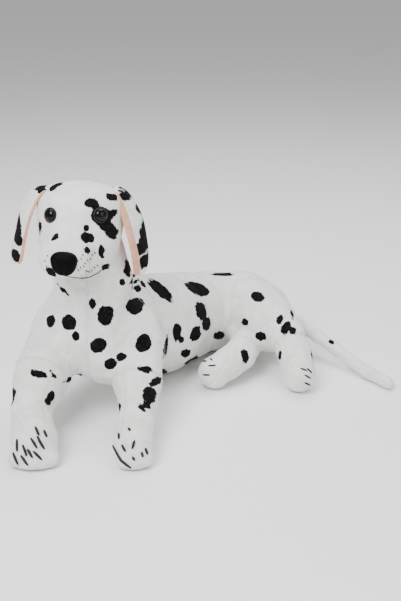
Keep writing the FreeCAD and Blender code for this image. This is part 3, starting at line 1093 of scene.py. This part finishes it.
def make_nose():
    points = []
    rows, sides = 40, 72
    middle = np.array([-233.5, -369.0, 269.5])
    for row in range(rows):
        lift = -math.pi / 2 + math.pi * (row + 0.5) / rows
        for step in range(sides):
            turn = 2 * math.pi * step / sides
            across = power(math.cos(lift), 0.8) * power(math.cos(turn), 0.75)
            ahead = power(math.cos(lift), 0.8) * power(math.sin(turn), 0.75)
            up = power(math.sin(lift), 0.8)
            width = 20.8 * (0.86 + 0.16 * up)
            beside, below = (abs(across) - 0.52) / 0.2, (up + 0.18) / 0.24
            nostril = math.exp(-(beside ** 2 + below ** 2)) * (ahead > 0)
            crease = math.exp(-((across / 0.07) ** 2)) * (ahead > 0) * (up < 0.2)
            reach = (11.0 - 1.6 * max(0, -up)) * ahead - 1.8 * nostril - 0.8 * crease
            points.append(middle + HEAD_LEFT * across * width + HEAD_AHEAD * reach + UP * up * 16.6)
    faces = [face[::-1] for face in ring_faces(rows, sides)]
    obj = covered("nose_cover", points, faces, nose_fabric())
    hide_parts("nose")
    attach(obj, "head")


def power(value, exponent):
    return math.copysign(abs(value) ** exponent, value)


# ---- Ears: (x, z, half width) down the middle, and spots as (x, z, half width, half height, turn)
EARS = {
    "right": {
        "line": [(-262, 349, 13), (-272, 349, 17), (-284, 338, 20), (-295, 319, 24), (-301, 301, 27),
                 (-306, 278, 29), (-310, 260, 28), (-313, 246, 22), (-315, 238, 10)],
        "spots": [(-273, 350, 11, 5, 0), (-311, 300, 6.5, 18, 15), (-309, 278, 9, 9, 0),
                  (-313, 253, 8.5, 9.8, 0)],
        "toward": 1, "rim": 0.5,
    },
    "left": {
        "line": [(-180, 347, 13), (-171, 348, 17), (-160, 335, 21), (-147, 306, 27), (-142, 284, 30),
                 (-139, 264, 30), (-137, 246, 27), (-138, 230, 20), (-140, 221, 9)],
        "spots": [(-157, 339, 10, 4, -40), (-136, 315, 4, 10, 20), (-130, 276, 7, 22, 0),
                  (-137, 264, 6, 9, 0), (-131, 243, 6, 10.5, 0)],
        "toward": -1, "rim": 0.85,
    },
}
EAR_DEPTH = -266
EAR_YAW = math.radians(21)


def make_ear(side, pile, salmon):
    shape = EARS[side]
    line = np.array(shape["line"], float)
    steps, sides = 64, 56
    share = np.linspace(0, len(line) - 1, steps)
    rings = [smooth_line(line[:, i], share) for i in range(3)]
    toward = shape["toward"]
    forward = np.array([toward * math.sin(EAR_YAW), -math.cos(EAR_YAW), 0])
    outward = np.array([-toward * math.cos(EAR_YAW), -math.sin(EAR_YAW), 0])
    points = []
    for ring, (x, z, half) in enumerate(zip(*rings)):
        end = math.sqrt(max(0.0, 1 - max(0.0, (ring - steps + 7) / 7) ** 2))
        thick = 4.6 * (0.35 + 0.65 * end)
        for step in range(sides):
            angle = 2 * math.pi * step / sides
            wide = power(math.cos(angle), 0.85) * half
            deep = power(math.sin(angle), 0.8) * thick
            cup = 5.0 * (1 - (wide / (half + 1e-6)) ** 2) * min(1, ring / 12)
            wave = 1.2 * math.sin(ring * 0.16 + wide * 0.05)
            points.append(np.array([x, EAR_DEPTH, z]) + forward * wide + outward * (deep + cup + wave))
    points = np.array(points)
    spots = spot_distance(points[:, 0], points[:, 2], shape["spots"])
    quads = np.array(ring_faces(steps, sides)[:-2])
    if toward > 0:
        quads = quads[:, ::-1]
    normals = vertex_normals(points, quads)
    angle = 2 * math.pi * ((quads % sides).min(axis=1) + 0.5) / sides
    angle = np.where((quads % sides).max(axis=1) - (quads % sides).min(axis=1) > 2, -math.pi / sides, angle)
    inner = (angle > math.pi) | (angle < shape["rim"])
    for name, mine, material, slot_name in (
        ("ear_back_" + side, ~inner, pile, "spotted_plush"),
        ("ear_lining_" + side, inner, salmon, "ear_lining_fabric"),
    ):
        used, local = np.unique(quads[mine], return_inverse=True)
        faces = local.reshape(-1, 4).tolist()
        obj = mesh_object(name, points[used], faces)
        add_attribute(obj, "rest", points[used] * MM)
        add_attribute(obj, "spot", spots[used])
        add_attribute(obj, "seam", np.zeros(len(used)))
        obj.data.normals_split_custom_set_from_vertices(normals[used].tolist())
        obj.data.materials.append(material)
        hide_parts(f"{side}_ear_{'lining' if 'lining' in name else 'back'}")
        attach(obj, side + "_ear")


def smooth_line(values, share):
    """Values between evenly spaced stations, without corners."""
    fine = np.interp(share, range(len(values)), values)
    for _ in range(14):
        fine[1:-1] = fine[1:-1] * 0.5 + (fine[2:] + fine[:-2]) * 0.25
    return fine


# ---- Camera, light and floor
def make_camera():
    """Camera in front of the dog and a little above it."""
    aim = Vector((-0.05, -0.13, 0.13))
    back = Vector(VIEW_BACK)
    data = bpy.data.cameras.new("camera")
    data.sensor_width = 36
    data.lens = 63.64
    data.clip_end = 30
    camera = bpy.data.objects.new("camera", data)
    camera.location = aim + back * 1.7
    camera.rotation_mode = "QUATERNION"
    camera.rotation_quaternion = (-back).to_track_quat("-Z", "Y")
    bpy.context.scene.collection.objects.link(camera)
    bpy.context.scene.camera = camera


def area_light(name, place, aim, size, energy):
    data = bpy.data.lights.new(name, "AREA")
    data.size = size
    data.energy = energy
    light = bpy.data.objects.new(name, data)
    light.location = place
    light.rotation_mode = "QUATERNION"
    light.rotation_quaternion = (Vector(aim) - Vector(place)).to_track_quat("-Z", "Y")
    bpy.context.scene.collection.objects.link(light)


def make_studio():
    area_light("key", (-0.9, -1.7, 1.9), (-0.05, -0.15, 0.1), 1.2, 74)
    area_light("fill", (1.5, -1.6, 1.2), (-0.05, -0.15, 0.1), 1.6, 17)
    area_light("top", (0.1, 0.4, 1.9), (-0.05, -0.15, 0.1), 1.6, 34)
    world = bpy.data.worlds.new("studio")
    world.use_nodes = True
    world.node_tree.nodes["Background"].inputs["Color"].default_value = (0.95, 0.95, 0.95, 1)
    world.node_tree.nodes["Background"].inputs["Strength"].default_value = 0.5
    bpy.context.scene.world = world
    corners = [(-9000, -9000, -1), (9000, -9000, -1), (9000, 9000, -1), (-9000, 9000, -1)]
    floor = mesh_object("floor", corners, [(0, 1, 2, 3)])
    floor.data.materials.append(floor_material())


def main():
    make_camera()
    make_studio()
    skin = make_skin()
    centres = skin["points"][skin["quads"]].mean(axis=1)
    objects = cut_skin(skin, piece_of(centres, skin["group"][skin["quads"][:, 0]]))
    join_to_bodies(skin, objects)
    tree = BVHTree.FromPolygons(skin["points"].tolist(), skin["quads"].tolist())
    threads = thread_material("black_thread", (0.005, 0.005, 0.006), (0.03, 0.03, 0.032))
    make_stitches(tree, threads)
    closing_stitches(tree)
    make_eyes(tree, threads)
    make_nose()
    salmon = lining()
    for side in EARS:
        make_ear(side, skin["material"], salmon)


main()
